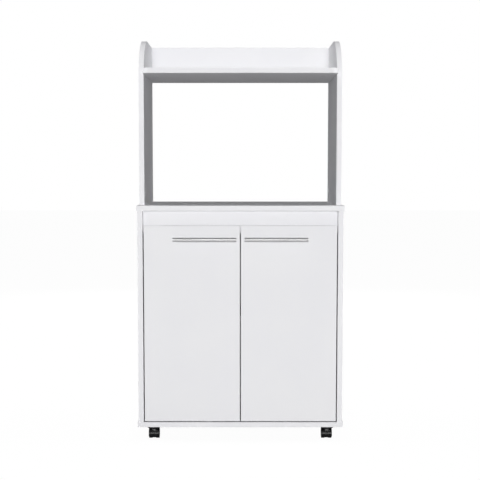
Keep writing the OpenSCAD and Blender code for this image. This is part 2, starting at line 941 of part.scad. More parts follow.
module left_hinge_pins() {
    mirror([1, 0, 0]) right_hinge_pins();
}

module left_cup_screws() {
    mirror([1, 0, 0]) right_cup_screws();
}

module left_hinge_arms() {
    mirror([1, 0, 0]) right_hinge_arms();
}

module left_hinge_plates() {
    mirror([1, 0, 0]) right_hinge_plates();
}

module hinge_mount_screws() {
    color(zinc) both_sides() at_plates() hinge_plate_screws();
}

// ---------------------------------------------------------------- casters
// A caster's frame has its origin on the floor under the swivel pin. The wheels trail
// towards +Y.

module at_casters() {
    for (sx = [-1, 1], y = [front_y + caster_inset_y, back_y - caster_inset_y])
        translate([sx * (worktop_w / 2 - caster_inset_x), y, 0]) children();
}

module at_caster(sx, sy) {
    y = sy < 0 ? front_y + caster_inset_y : back_y - caster_inset_y;
    translate([sx * (worktop_w / 2 - caster_inset_x), y, 0]) children();
}

module at_caster_screws() {
    at_casters() for (sx = [-1, 1], sy = [-1, 1])
        translate([sx * caster_screw_gap / 2, sy * caster_screw_gap / 2, plate_z]) children();
}

module plate_outline() {
    a = caster_plate;
    r = plate_corner_r;
    square([a, a - 2 * r], center = true);
    square([a - 2 * r, a], center = true);
    for (sx = [-1, 1], sy = [-1, 1]) translate([sx, sy] * (a / 2 - r)) circle(r = r);
}

// Square steel plates, each with its swivel pin riveted in
module caster_plates() {
    color(zinc) {
        difference() {
            at_casters() translate([0, 0, plate_z]) linear_extrude(caster_h - plate_z)
                plate_outline();
            at_caster_screws() translate([0, 0, -over])
                cylinder(d = caster_screw_d + 0.4, h = caster_h - plate_z + 2 * over);
        }
        at_casters() {
            translate([0, 0, swivel_pin_end_z])
                cylinder(d = swivel_pin_d, h = plate_z - swivel_pin_end_z);
            translate([0, 0, neck_top_z + slack]) cylinder(d = collar_d, h = slack);
        }
    }
}

module caster_screws() {
    color(zinc) at_caster_screws() round_screw(caster_screw_d,
        caster_h - plate_z + caster_screw_bite, caster_screw_head_d, caster_screw_head_h);
}

// A pie slice that the hood's arc is cut from, in degrees from the rear over the top
module slice(from, to, r) {
    steps = ceil((to - from) / 45);
    polygon(concat([[0, 0]], [for (i = [0 : steps]) let (a = from + (to - from) * i / steps)
        [r * cos(a), r * sin(a)]]));
}

// Housing: a web between the wheels, a neck and a race round the swivel pin, and a hood
// over the wheels' front and top
module caster_housing() {
    room_l = (caster_w - housing_web) / 2 + over;
    difference() {
        union() {
            translate([-housing_web / 2, caster_trail, wheel_r]) rod_x(2 * web_r, housing_web);
            translate([-housing_web / 2, -housing_web / 2, wheel_r])
                cube([housing_web, caster_trail + housing_web / 2, wheel_r]);
            translate([0, 0, wheel_r + 3]) cylinder(d = neck_d, h = neck_top_z - wheel_r - 3);
            translate([0, 0, neck_top_z - race_h]) cylinder(d = race_d, h = race_h);
            translate([-caster_w / 2, caster_trail, wheel_r]) rotate([90, 0, 90])
                linear_extrude(caster_w) intersection() {
                    circle(r = housing_r);
                    slice(housing_from, housing_to, 2 * housing_r);
                }
        }
        // room for the wheels beside the web
        for (x = [housing_web / 2, -housing_web / 2 - room_l])
            translate([x, caster_trail, wheel_r])
                rod_x(2 * (wheel_r + housing_clear), room_l);
        translate([0, 0, swivel_pin_end_z - slack])
            cylinder(d = swivel_pin_d + 2 * fit, h = caster_h);
        translate([-housing_web, caster_trail, wheel_r]) rod_x(axle_d, 2 * housing_web);
    }
}

module caster_axle() {
    l = caster_w - 3;
    translate([-l / 2, caster_trail, wheel_r]) rod_x(axle_d, l);
}

// Half section of a wheel: X is the radius and Y runs from its inner to its outer face.
// The inner face is hollow round the hub, and the outer face is dished.
module wheel_section() {
    rim = 2.2;
    round_r = 1.2;
    hub_r = axle_d / 2 + 2;
    dish = 1.2;
    skin = 3;
    bore_r = axle_d / 2 + fit;
    bore_l = wheel_w - 1.5 + slack;
    difference() {
        union() {
            square([wheel_r - round_r, wheel_w]);
            translate([0, round_r]) square([wheel_r, wheel_w - 2 * round_r]);
            for (y = [round_r, wheel_w - round_r])
                translate([wheel_r - round_r, y]) circle(r = round_r, $fn = 32);
        }
        translate([hub_r, -over]) square([wheel_r - rim - hub_r, wheel_w - skin + over]);
        translate([hub_r + 1, wheel_w - dish]) square([wheel_r - rim - 1 - hub_r - 1, dish + over]);
        translate([-over, -over]) square([bore_r + over, bore_l + over]);
        translate([-2 * wheel_r, -over]) square([2 * wheel_r, wheel_w + 2 * over]);
    }
}

// side is 1 for the wheel towards +X and -1 for the other
module caster_wheel(side) {
    mirror([side < 0 ? 1 : 0, 0, 0])
        translate([housing_web / 2 + wheel_gap, caster_trail, wheel_r])
            rotate([0, 90, 0]) rotate_extrude() wheel_section();
}

module front_left_housing() { color(black) at_caster(-1, -1) caster_housing(); }
module front_right_housing() { color(black) at_caster(1, -1) caster_housing(); }
module rear_left_housing() { color(black) at_caster(-1, 1) caster_housing(); }
module rear_right_housing() { color(black) at_caster(1, 1) caster_housing(); }

module front_left_axle() { color(steel) at_caster(-1, -1) caster_axle(); }
module front_right_axle() { color(steel) at_caster(1, -1) caster_axle(); }
module rear_left_axle() { color(steel) at_caster(-1, 1) caster_axle(); }
module rear_right_axle() { color(steel) at_caster(1, 1) caster_axle(); }

module front_left_outer_wheel() { color(black) at_caster(-1, -1) caster_wheel(-1); }
module front_left_inner_wheel() { color(black) at_caster(-1, -1) caster_wheel(1); }
module front_right_outer_wheel() { color(black) at_caster(1, -1) caster_wheel(1); }
module front_right_inner_wheel() { color(black) at_caster(1, -1) caster_wheel(-1); }
module rear_left_outer_wheel() { color(black) at_caster(-1, 1) caster_wheel(-1); }
module rear_left_inner_wheel() { color(black) at_caster(-1, 1) caster_wheel(1); }
module rear_right_outer_wheel() { color(black) at_caster(1, 1) caster_wheel(1); }
module rear_right_inner_wheel() { color(black) at_caster(1, 1) caster_wheel(-1); }

// ---------------------------------------------------------------- assembly

worktop();
bottom_panel();
left_side_panel();
right_side_panel();
front_rail();
rear_rail();
back_panel();
back_panel_nails();
inner_shelf();
shelf_pins();
left_hutch_side();
right_hutch_side();
top_shelf();
back_strip();
cam_locks();
cam_bolts();
cam_caps();
dowels();
bottom_panel_screws();
strip_screws();
door_bumpers();
left_door();
right_door();
left_handle_bar();
left_handle_posts();
left_handle_screws();
right_handle_bar();
right_handle_posts();
right_handle_screws();
left_hinge_cups();
left_hinge_pins();
left_cup_screws();
left_hinge_arms();
left_hinge_plates();
right_hinge_cups();
right_hinge_pins();
right_cup_screws();
right_hinge_arms();
right_hinge_plates();
hinge_mount_screws();
caster_plates();
caster_screws();
front_left_housing();
front_left_axle();
front_left_outer_wheel();
front_left_inner_wheel();
front_right_housing();
front_right_axle();
front_right_outer_wheel();
front_right_inner_wheel();
rear_left_housing();
rear_left_axle();
rear_left_outer_wheel();
rear_left_inner_wheel();
rear_right_housing();
rear_right_axle();
rear_right_outer_wheel();
rear_right_inner_wheel();
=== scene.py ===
"""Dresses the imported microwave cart: boards with edge band, fittings, casters, studio."""
import json
import math

import bmesh
import bpy
from mathutils import Matrix, Vector


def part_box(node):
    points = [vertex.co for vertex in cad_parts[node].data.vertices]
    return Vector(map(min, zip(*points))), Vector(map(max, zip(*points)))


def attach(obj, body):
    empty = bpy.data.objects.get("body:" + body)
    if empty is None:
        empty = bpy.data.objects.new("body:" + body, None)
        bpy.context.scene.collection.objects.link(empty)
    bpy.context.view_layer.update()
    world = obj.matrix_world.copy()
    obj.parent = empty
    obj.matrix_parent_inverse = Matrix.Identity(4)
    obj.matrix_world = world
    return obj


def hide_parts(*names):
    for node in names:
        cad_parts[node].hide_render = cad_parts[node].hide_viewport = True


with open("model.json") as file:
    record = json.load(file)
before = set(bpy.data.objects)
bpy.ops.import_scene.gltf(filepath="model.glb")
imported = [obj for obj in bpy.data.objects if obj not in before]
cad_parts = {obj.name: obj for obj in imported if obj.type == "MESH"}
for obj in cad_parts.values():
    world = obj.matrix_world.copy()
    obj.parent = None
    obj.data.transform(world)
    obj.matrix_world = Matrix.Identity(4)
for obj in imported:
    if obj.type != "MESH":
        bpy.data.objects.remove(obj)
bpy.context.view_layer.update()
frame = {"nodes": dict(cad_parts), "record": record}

MM = 0.001
NEAR = 0.01 * MM       # places no further apart than this count as one
BODY_OF = {node: body
           for body, nodes in frame["record"]["behaviour"]["bodies"].items()
           for node in nodes}
SLOT_OF = {part["node"]: part["material_slot"] for part in frame["record"]["subparts"]}
SIDES = ("left", "right")
ENDS = ("front", "rear")
X, Y, Z = Vector((1, 0, 0)), Vector((0, 1, 0)), Vector((0, 0, 1))


# ------------------------------------------------------------------ materials

NOISE_LOW, NOISE_HIGH = 0.3, 0.7      # nearly all that a noise gives lies between these


def hex_colour(code):
    """An sRGB hex value as the linear colour that a shader takes."""
    parts = [int(code[i:i + 2], 16) / 255 for i in (0, 2, 4)]
    linear = [c / 12.92 if c <= 0.04045 else ((c + 0.055) / 1.055) ** 2.4 for c in parts]
    return (*linear, 1.0)


def add(tree, kind, inputs=None, **settings):
    """Adds a node with its settings. An input is a value, or an output to link from."""
    made = tree.nodes.new("ShaderNode" + kind)
    for name, value in settings.items():
        setattr(made, name, value)
    for name, value in (inputs or {}).items():
        entry = made.inputs[name]
        if isinstance(value, bpy.types.NodeSocket):
            tree.links.new(value, entry)
        else:
            entry.default_value = value
    return made


def empty_tree(owner):
    """The node tree of a material or a world, with nothing in it."""
    owner.use_nodes = True
    owner.node_tree.nodes.clear()
    return owner.node_tree


def new_material(name):
    """A new material's empty tree, its object coordinates and a way to finish it."""
    made = bpy.data.materials.new(name)
    tree = empty_tree(made)
    place = add(tree, "TexCoord").outputs["Object"]

    def finish(**inputs):
        named = {key.replace("_", " "): value for key, value in inputs.items()}
        surface = add(tree, "BsdfPrincipled", named)
        add(tree, "OutputMaterial", {"Surface": surface.outputs["BSDF"]})
        return made

    return tree, place, finish


def stretch(tree, place, scale):
    """Object coordinates scaled along each axis, for grain and brush marks."""
    return add(tree, "Mapping", {"Vector": place, "Scale": scale}).outputs["Vector"]


def noise(tree, place, pitch_mm, detail=2.0, roughness=0.5):
    """Noise whose blobs are about pitch_mm across."""
    return add(tree, "TexNoise", {"Vector": place, "Scale": 1 / (pitch_mm * MM),
                                  "Detail": detail, "Roughness": roughness}).outputs["Fac"]


def graded(tree, value, start, end, first, last):
    """Runs evenly from first at the start to last at the end, and is even outside them."""
    return add(tree, "MapRange", {"Value": value, "From Min": start, "From Max": end,
                                  "To Min": first, "To Max": last}).outputs["Result"]


def between(tree, value, low, high):
    """Spreads a noise over low to high."""
    return graded(tree, value, NOISE_LOW, NOISE_HIGH, low, high)


def blend(tree, value, low, high):
    """Mixes two colours by a value. Each is a colour, or an output to link from."""
    # A Mix node's sockets share their names, so its colours go by number: 6, 7 and out at 2
    return add(tree, "Mix", {"Factor": value, 6: low, 7: high}, data_type="RGBA").outputs[2]


def shades(tree, value, low, high):
    """Spreads a noise over two colours, given as sRGB hex values."""
    return blend(tree, between(tree, value, 0.0, 1.0), hex_colour(low), hex_colour(high))


def relief(tree, height, depth_mm, strength, normal=None):
    """Turns a height of 0 to 1 into a bump of that depth, on another bump if one is given."""
    inputs = {"Height": height, "Distance": depth_mm * MM, "Strength": strength}
    if normal is not None:
        inputs["Normal"] = normal
    return add(tree, "Bump", inputs).outputs["Normal"]


def melamine():
    # Melamine-faced chipboard, pressed with a fine pearl texture. It looks plain white
    # and satin, and its highlights break up softly over 2 mm.
    tree, place, finish = new_material("white_melamine")
    colour = shades(tree, noise(tree, place, 160), "E9E9EC", "EBEBED")
    gloss = between(tree, noise(tree, place, 45, 3), 0.54, 0.62)
    pearl = relief(tree, noise(tree, place, 2.0, 3, 0.6), 0.02, 0.5)
    return finish(Base_Color=colour, Roughness=gloss, IOR=1.5, Normal=pearl)


def edge_band():
    # ABS edge band, extruded and scraped flush. It is a touch whiter and smoother than
    # the faces, with long low waves from the scraper.
    tree, place, finish = new_material("white_edge_band")
    colour = shades(tree, noise(tree, place, 90), "EAEAED", "EDEDEF")
    gloss = between(tree, noise(tree, place, 12, 2), 0.50, 0.56)
    waves = relief(tree, noise(tree, place, 9.0), 0.015, 0.4)
    return finish(Base_Color=colour, Roughness=gloss, IOR=1.5, Normal=waves)


def chip_core():
    # Chipboard where a drill has cut it: pale chips 1 to 2 mm long, dry and rough.
    tree, place, finish = new_material("chipboard_core")
    chips = add(tree, "TexVoronoi", {"Vector": place, "Scale": 1 / (1.6 * MM)})
    colour = blend(tree, chips.outputs["Distance"], hex_colour("B99B74"), hex_colour("8B6D4B"))
    rough = relief(tree, chips.outputs["Distance"], 0.15, 0.8)
    return finish(Base_Color=colour, Roughness=0.9, Normal=rough)


def hardboard_white():
    # Hardboard's lacquered face, rolled thin. The fibres show as faint long mottling.
    tree, place, finish = new_material("hardboard_white_face")
    fibre = noise(tree, place, 3.5, 4, 0.65)
    colour = shades(tree, fibre, "E2E2E1", "E9E9E8")
    return finish(Base_Color=colour, Roughness=0.5, IOR=1.5,
                  Normal=relief(tree, fibre, 0.05, 0.5))


def hardboard_raw():
    # Hardboard's raw back, pressed on a wire screen: brown fibres and the screen's mesh.
    # The real mesh is 1.5 mm, drawn at 3 mm so that it shows.
    tree, place, finish = new_material("hardboard_raw_back")
    fibre = noise(tree, place, 6.0, 5, 0.7)
    patches = shades(tree, noise(tree, place, 120, 3), "8C6A49", "9C7A56")
    colour = blend(tree, between(tree, fibre, 0.0, 0.35), patches, hex_colour("6F5036"))
    wire_pitch = 3.0 * MM
    waves = 2 * math.pi / wire_pitch / 20      # a wave texture takes a place times 20
    across = add(tree, "TexWave", {"Vector": place, "Scale": waves}, bands_direction="X")
    along = add(tree, "TexWave", {"Vector": place, "Scale": waves}, bands_direction="Z")
    mesh = add(tree, "Math", {0: across.outputs["Fac"], 1: along.outputs["Fac"]},
               operation="MULTIPLY").outputs[0]
    screen = relief(tree, mesh, 0.12, 0.7)
    return finish(Base_Color=colour, Roughness=0.75,
                  Normal=relief(tree, fibre, 0.08, 0.5, screen))


def brushed_steel():
    # Stainless tube, linished as it turns: fine rings round the bar that stretch the
    # highlight along it. The real grit is 0.1 mm, drawn at 0.6 mm so that it shows.
    tree, place, finish = new_material("brushed_stainless")
    rings = noise(tree, stretch(tree, place, (1.0, 0.08, 0.08)), 0.6, 3, 0.7)
    colour = shades(tree, rings, "D8D8D9", "E4E4E4")
    return finish(Base_Color=colour, Metallic=1.0,
                  Roughness=between(tree, rings, 0.27, 0.36),
                  Normal=relief(tree, rings, 0.008, 0.4))


def nickel_steel():
    # Pressed steel with bright nickel: smooth, a little wavy from the press.
    tree, place, finish = new_material("nickel_plated_steel")
    waves = noise(tree, place, 7.0)
    colour = shades(tree, waves, "C6C5C1", "D2D1CD")
    return finish(Base_Color=colour, Metallic=1.0,
                  Roughness=between(tree, noise(tree, place, 2.0, 3), 0.18, 0.27),
                  Normal=relief(tree, waves, 0.02, 0.4))


def zinc_steel():
    # Steel with clear-passivated zinc: grey with a blue cast and faint spangle.
    tree, place, finish = new_material("zinc_plated_steel")
    spangle = noise(tree, place, 1.6, 3, 0.6)
    colour = shades(tree, spangle, "A9AEB4", "BFC3C6")
    return finish(Base_Color=colour, Metallic=1.0,
                  Roughness=between(tree, spangle, 0.30, 0.42),
                  Normal=relief(tree, spangle, 0.01, 0.5))


def charcoal_steel():
    # Charcoal steel with a dull sheen, which the caster plates and their screws take in place of
    # their grey zinc.
    tree, place, finish = new_material("charcoal_caster_steel")
    spangle = noise(tree, place, 1.6, 3, 0.6)
    colour = shades(tree, spangle, "26272A", "303235")
    return finish(Base_Color=colour, Metallic=1.0,
                  Roughness=between(tree, spangle, 0.38, 0.48),
                  Normal=relief(tree, spangle, 0.01, 0.4))


def black_nylon():
    # Moulded nylon, PA6: near black with a spark-eroded grain of about 0.8 mm and a soft
    # sheen on the rounded rims.
    tree, place, finish = new_material("black_nylon")
    grain = noise(tree, place, 0.8, 2, 0.6)
    colour = shades(tree, noise(tree, place, 6.0), "080809", "0C0C0E")
    return finish(Base_Color=colour, Roughness=between(tree, grain, 0.24, 0.28), IOR=1.53,
                  Normal=relief(tree, grain, 0.004, 0.4))


def white_plastic():
    # Moulded polyethylene caps: matt white, with a slight waxy mottling.
    tree, place, finish = new_material("white_polyethylene")
    mottle = noise(tree, place, 3.0)
    colour = shades(tree, mottle, "E6E6E8", "EBEBEC")
    return finish(Base_Color=colour, Roughness=between(tree, mottle, 0.42, 0.52), IOR=1.51,
                  Normal=relief(tree, mottle, 0.01, 0.4))


def soft_bumper():
    # Cast polyurethane, milky and clear: light goes in and comes out soft.
    tree, place, finish = new_material("clear_polyurethane")
    cloud = noise(tree, place, 4.0)
    colour = shades(tree, cloud, "D5DADC", "E1E4E5")
    return finish(Base_Color=colour, Roughness=between(tree, cloud, 0.22, 0.32), IOR=1.5,
                  Transmission_Weight=0.55)


def beech():
    # Turned beech dowel: straight grain along its length, with short dark flecks.
    tree, place, finish = new_material("beech")
    grain = noise(tree, stretch(tree, place, (0.15, 1.0, 1.0)), 0.9, 4, 0.6)
    colour = shades(tree, grain, "C79F6E", "A97C4D")
    return finish(Base_Color=colour, Roughness=0.65, Normal=relief(tree, grain, 0.05, 0.5))


MELAMINE, BAND, CORE = melamine(), edge_band(), chip_core()
FINISH = {
    "white_board": MELAMINE,
    "hardboard": hardboard_raw(),
    "beech": beech(),
    "white_plastic": white_plastic(),
    "bumper_rubber": soft_bumper(),
    "handle_metal": brushed_steel(),
    "hinge_steel": nickel_steel(),
    "zinc_steel": zinc_steel(),
    "black_plastic": black_nylon(),
}
HARDBOARD_FACE = hardboard_white()
CHARCOAL_STEEL = charcoal_steel()


def finish_of(node):
    """The finish of a node's slot. The caster plates and their screws take a charcoal steel in
    place of their zinc.
    """
    return CHARCOAL_STEEL if node in ("caster_plates", "caster_screws") else FINISH[SLOT_OF[node]]


for name, node in frame["nodes"].items():
    node.data.materials.clear()
    node.data.materials.append(finish_of(name))


# ------------------------------------------------------------------ modelling

DOUBLES = 0.002 * MM       # corners of a CAD node's triangles this close are one corner
WHOLE_FACE = 0.5           # degrees: faces that meet at less are one face
SQUARE = 0.99999           # a face is square to an axis if its normal has more than this along it


def only(*objects):
    """Selects just these objects, the first of them active."""
    bpy.ops.object.select_all(action="DESELECT")
    for obj in objects:
        obj.select_set(True)
    bpy.context.view_layer.objects.active = objects[0]


def settle(obj):
    """Puts the object at the origin, with its place in its mesh."""
    only(obj)
    bpy.ops.object.transform_apply(location=True, rotation=True, scale=True)
    return obj


def block(name, low, high):
    """A block from its lowest to its highest corner."""
    bpy.ops.object.select_all(action="DESELECT")
    bpy.ops.mesh.primitive_cube_add(size=1, location=(low + high) / 2, scale=high - low)
    obj = bpy.context.object
    obj.name = name
    return settle(obj)


def rod(name, centre, axis, diameter, length, sides):
    """A round rod about its centre, along axis."""
    bpy.ops.object.select_all(action="DESELECT")
    turn = Z.rotation_difference(axis).to_euler()
    bpy.ops.mesh.primitive_cylinder_add(vertices=sides, radius=diameter / 2, depth=length,
                                        location=centre, rotation=turn)
    obj = bpy.context.object
    obj.name = name
    return settle(obj)


def pick_none(obj, kind):
    """Readies an object for picking its edges or faces, with none of them selected."""
    only(obj)
    bpy.ops.object.mode_set(mode="EDIT")
    bpy.ops.mesh.select_mode(type=kind)
    bpy.ops.mesh.select_all(action="DESELECT")
    bpy.ops.object.mode_set(mode="OBJECT")


def pick_edges(obj, wanted):
    """Selects the edges for which wanted(end, other end) is true, in edit mode."""
    pick_none(obj, "EDGE")
    points = obj.data.vertices
    for edge in obj.data.edges:
        a, b = (points[i].co for i in edge.vertices)
        edge.select = bool(wanted(a, b))
    bpy.ops.object.mode_set(mode="EDIT")


def pick_faces(obj, wanted):
    """Selects the faces for which wanted(centre, normal) is true, in edit mode."""
    pick_none(obj, "FACE")
    for face in obj.data.polygons:
        face.select = bool(wanted(face.center, face.normal))
    bpy.ops.object.mode_set(mode="EDIT")


def round_edges(obj, wanted, radius, segments):
    """Rounds the edges for which wanted(end, other end) is true."""
    pick_edges(obj, wanted)
    bpy.ops.mesh.bevel(offset=radius, offset_type="OFFSET", segments=segments,
                       affect="EDGES")
    bpy.ops.object.mode_set(mode="OBJECT")


def soften(obj, radius, angle=35, segments=2):
    """Breaks the sharp outer edges with a Bevel modifier, and applies it. Inner corners
    stay as they are, so that nothing grows into its neighbour."""
    form = bmesh.new()
    form.from_mesh(obj.data)
    sharp = [float(edge.is_convex and edge.calc_face_angle(0.0) > math.radians(angle))
             for edge in form.edges]
    form.free()
    weights = obj.data.attributes.new("bevel_weight_edge", "FLOAT", "EDGE")
    weights.data.foreach_set("value", sharp)
    only(obj)
    bevel = obj.modifiers.new("broken_edges", "BEVEL")
    bevel.width = radius
    bevel.segments = segments
    bevel.limit_method = "WEIGHT"
    bevel.use_clamp_overlap = True
    bpy.ops.object.modifier_apply(modifier=bevel.name)
    obj.data.attributes.remove(obj.data.attributes["bevel_weight_edge"])


def smooth(obj, angle=32):
    """Shades the edges smooth that bend by less than the angle, in degrees."""
    only(obj)
    bpy.ops.object.shade_smooth_by_angle(angle=math.radians(angle))
    return obj


def keep_flat(obj):
    """Shades the faces that are square to an axis flat, so that the rounded rims next to
    them don't tint them."""
    for face in obj.data.polygons:
        if max(abs(c) for c in face.normal) > SQUARE:
            face.use_smooth = False


def paint(obj, *materials):
    """Gives the object these materials and no others. Its faces take the first."""
    obj.data.materials.clear()
    for material in materials:
        obj.data.materials.append(material)
    return obj


def stand_for(obj, node):
    """The piece rides and is finished as the CAD node that it replaces."""
    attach(obj, BODY_OF[node])
    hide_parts(node)


def merged_copy(node, whole_faces=True):
    """A copy of a CAD node with its doubles merged and, if asked, its flat faces made
    whole."""
    source = frame["nodes"][node]
    obj = bpy.data.objects.new(node + "_piece", source.data.copy())
    bpy.context.scene.collection.objects.link(obj)
    only(obj)
    bpy.ops.object.mode_set(mode="EDIT")
    bpy.ops.mesh.select_all(action="SELECT")
    bpy.ops.mesh.remove_doubles(threshold=DOUBLES)
    if whole_faces:
        bpy.ops.mesh.dissolve_limited(angle_limit=math.radians(WHOLE_FACE))
    bpy.ops.object.mode_set(mode="OBJECT")
    return obj


def loose_boxes(obj):
    """The lowest and highest corner of each separate solid of a mesh, in the order of the
    lowest corners to 0.01 mm."""
    links = {v.index: [] for v in obj.data.vertices}
    for edge in obj.data.edges:
        a, b = edge.vertices
        links[a].append(b)
        links[b].append(a)
    left, boxes = set(links), []
    while left:
        todo = [left.pop()]
        found = []
        while todo:
            at = todo.pop()
            found.append(obj.data.vertices[at].co)
            fresh = [n for n in links[at] if n in left]
            left.difference_update(fresh)
            todo += fresh
        boxes.append((Vector([min(p[i] for p in found) for i in range(3)]),
                      Vector([max(p[i] for p in found) for i in range(3)])))
    return sorted(boxes, key=lambda box: tuple(round(c, 5) for c in box[0]))


def solids_of(node):
    """The boxes of a CAD node's separate solids."""
    copy = merged_copy(node)
    boxes = loose_boxes(copy)
    bpy.data.objects.remove(copy)
    return boxes


def join(parts):
    """Makes one object of several, the first of them."""
    only(*parts)
    if len(parts) > 1:
        bpy.ops.object.join()
    return bpy.context.object


def cut(obj, cutter, operation="DIFFERENCE"):
    """Cuts the cutter out of the object, or adds it to it, and removes the cutter."""
    only(obj)
    tool = obj.modifiers.new("cut", "BOOLEAN")
    tool.operation = operation
    tool.solver = "EXACT"
    tool.object = cutter
    bpy.ops.object.modifier_apply(modifier=tool.name)
    bpy.data.objects.remove(cutter)
    return obj


# ------------------------------------------------------------------ boards

EDGE_R = 0.6 * MM        # the scraped corner of an edge band
HUTCH_R = 125 * MM       # the hutch sides' top front corners
SHELF_R = 20 * MM        # the top shelf's front corners

# The shelf pins' holes. They come out 0.4 mm too high, because the pins' plugs are 5 mm
# thick and PIN_DROP should be half of that. Flange and shelf hide the holes in use.
PINS = solids_of("shelf_pins")
PIN_DROP = 2.1 * MM      # from the top of the pins down to the middle of their holes
PIN_Z = max(box[1].z for box in PINS) - PIN_DROP
PIN_PITCH = 32 * MM
PIN_STEPS = range(-2, 3)     # the holes of a row, counted from the one that is used
PIN_HOLE = 5.1 * MM
PIN_HOLE_DEPTH = 10 * MM

CUP_LIP = 1.45 * MM      # how far a hinge cup's flange reaches past its bore
CUP_PLAY = 0.05 * MM     # how much deeper than the cup the bore is


def band_edges(obj, thin):
    """Rounds a board's rims and gives its narrow faces the edge band. thin is the axis
    across its thickness."""
    across = [v.co[thin] for v in obj.data.vertices]
    faces = (min(across), max(across))

    def on_rim(a, b):
        return any(abs(a[thin] - f) < NEAR and abs(b[thin] - f) < NEAR for f in faces)

    round_edges(obj, on_rim, EDGE_R, segments=3)
    paint(obj, MELAMINE, BAND)
    for face in obj.data.polygons:
        # 0.97 leaves out even the flattest strip of a rounded rim, which gets the band
        face.material_index = 0 if abs(face.normal[thin]) > 0.97 else 1
    keep_flat(smooth(obj))


def board(node, thin, shape=None, drill=None):
    """A board at its node's place. shape rounds its corners before the rims are banded,
    and drill makes its holes after that."""
    low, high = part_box(node)
    obj = block(node + "_board", low, high)
    if shape:
        shape(obj, low, high)
    band_edges(obj, thin)
    if drill:
        drill(obj, low, high)
    stand_for(obj, node)


def hutch_corner(obj, low, high):
    """The quarter round at a hutch side's top front."""
    round_edges(obj, lambda a, b: min(a.z, b.z) > high.z - NEAR and max(a.y, b.y) < low.y + NEAR,
                HUTCH_R, segments=48)


def shelf_corners(obj, low, high):
    """The small rounds at the top shelf's front corners."""
    round_edges(obj, lambda a, b: max(a.y, b.y) < low.y + NEAR and abs(a.z - b.z) > NEAR,
                SHELF_R, segments=16)


def bore(obj, places, axis, diameter, depth, sides):
    """Blind bores from each place along axis, with the bare chipboard in them."""
    spare = 2 * MM
    cut(obj, join([rod("drill", at + axis * (depth - spare) / 2, axis, diameter,
                       depth + spare, sides) for at in places]))
    obj.data.materials.append(CORE)
    reach = 0.52 * diameter      # a little over the radius
    for face in obj.data.polygons:
        corners = [obj.data.vertices[i].co for i in face.vertices]
        if any(all((corner - at).cross(axis).length < reach for corner in corners)
               for at in places):
            face.material_index = len(obj.data.materials) - 1
    keep_flat(smooth(obj))


def pin_holes(obj, low, high):
    """The two rows of shelf pin holes that a side panel is drilled with."""
    outward = -1 if high.x < 0 else 1
    inner = high.x if outward < 0 else low.x
    rows = [(box[0].y + box[1].y) / 2 for box in PINS
            if (box[0].x + box[1].x) * outward > 0]
    places = [Vector((inner, y, PIN_Z + step * PIN_PITCH))
              for y in rows for step in PIN_STEPS]
    bore(obj, places, X * outward, PIN_HOLE, PIN_HOLE_DEPTH, sides=32)


def cup_bores(obj, low, high):
    """The wide bores in a door's back that take its hinge cups."""
    cups = solids_of("left_hinge_cups" if high.x < 0 else "right_hinge_cups")
    places = [Vector((box[0].x + box[1].x, 2 * high.y, box[0].z + box[1].z)) / 2
              for box in cups]
    width = cups[0][1].x - cups[0][0].x - 2 * CUP_LIP
    depth = high.y - cups[0][0].y + CUP_PLAY
    bore(obj, places, -Y, width, depth, sides=64)


# The axis across each board, and the round corners and holes that some of them get
THIN = {
    "worktop": 2, "bottom_panel": 2, "inner_shelf": 2, "top_shelf": 2,
    "front_rail": 1, "rear_rail": 1, "back_strip": 1, "left_door": 1, "right_door": 1,
    "left_side_panel": 0, "right_side_panel": 0, "left_hutch_side": 0, "right_hutch_side": 0,
}
SHAPE = {"left_hutch_side": hutch_corner, "right_hutch_side": hutch_corner,
         "top_shelf": shelf_corners}
DRILL = {"left_side_panel": pin_holes, "right_side_panel": pin_holes,
         "left_door": cup_bores, "right_door": cup_bores}
for node, thin in THIN.items():
    board(node, thin, SHAPE.get(node), DRILL.get(node))


# ------------------------------------------------------------------ handles

HANDLE_END_R = 0.9 * MM

for side in SIDES:
    low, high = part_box(side + "_handle_bar")
    bar = rod(side + "_handle_tube", (low + high) / 2, X, high.z - low.z, high.x - low.x,
              sides=64)
    round_edges(bar, lambda a, b: abs(a.x - b.x) < NEAR, HANDLE_END_R, segments=4)
    stand_for(smooth(paint(bar, FINISH["handle_metal"])), side + "_handle_bar")
    posts = merged_copy(side + "_handle_posts")
    stand_for(smooth(posts), side + "_handle_posts")


# ------------------------------------------------------------------ screws

CROSS_WIDTH, CROSS_BLADE, CROSS_DEPTH = 4.0 * MM, 0.9 * MM, 1.1 * MM
CROSS_TAPER = (0.55, 0.7, 1)       # what is left of an arm's length and width at its foot
HEX_WIDTH, HEX_DEPTH = 4.6 * MM, 2.4 * MM


def cross_recess(at, axis):
    """The cutter of a tapered cross, in a screw head that looks along axis."""
    arms = []
    for turn in (45, 135):
        bpy.ops.object.select_all(action="DESELECT")
        bpy.ops.mesh.primitive_cube_add(size=1,
                                        scale=(CROSS_WIDTH, CROSS_BLADE, 2 * CROSS_DEPTH))
        arm = settle(bpy.context.object)
        pick_faces(arm, lambda centre, normal: normal.z < -0.9)
        bpy.ops.transform.resize(value=CROSS_TAPER, center_override=(0, 0, -CROSS_DEPTH))
        bpy.ops.object.mode_set(mode="OBJECT")
        arm.rotation_euler = (0, 0, math.radians(turn))
        arms.append(settle(arm))
    made = cut(arms[0], arms[1], "UNION")
    made.matrix_world = (Matrix.Translation(at)
                         @ Z.rotation_difference(axis).to_matrix().to_4x4())
    return settle(made)


def hex_recess(at, axis):
    """The cutter of a six-sided socket, in a screw head that looks along axis."""
    return rod("socket", at, axis, HEX_WIDTH, 2 * HEX_DEPTH, sides=6)


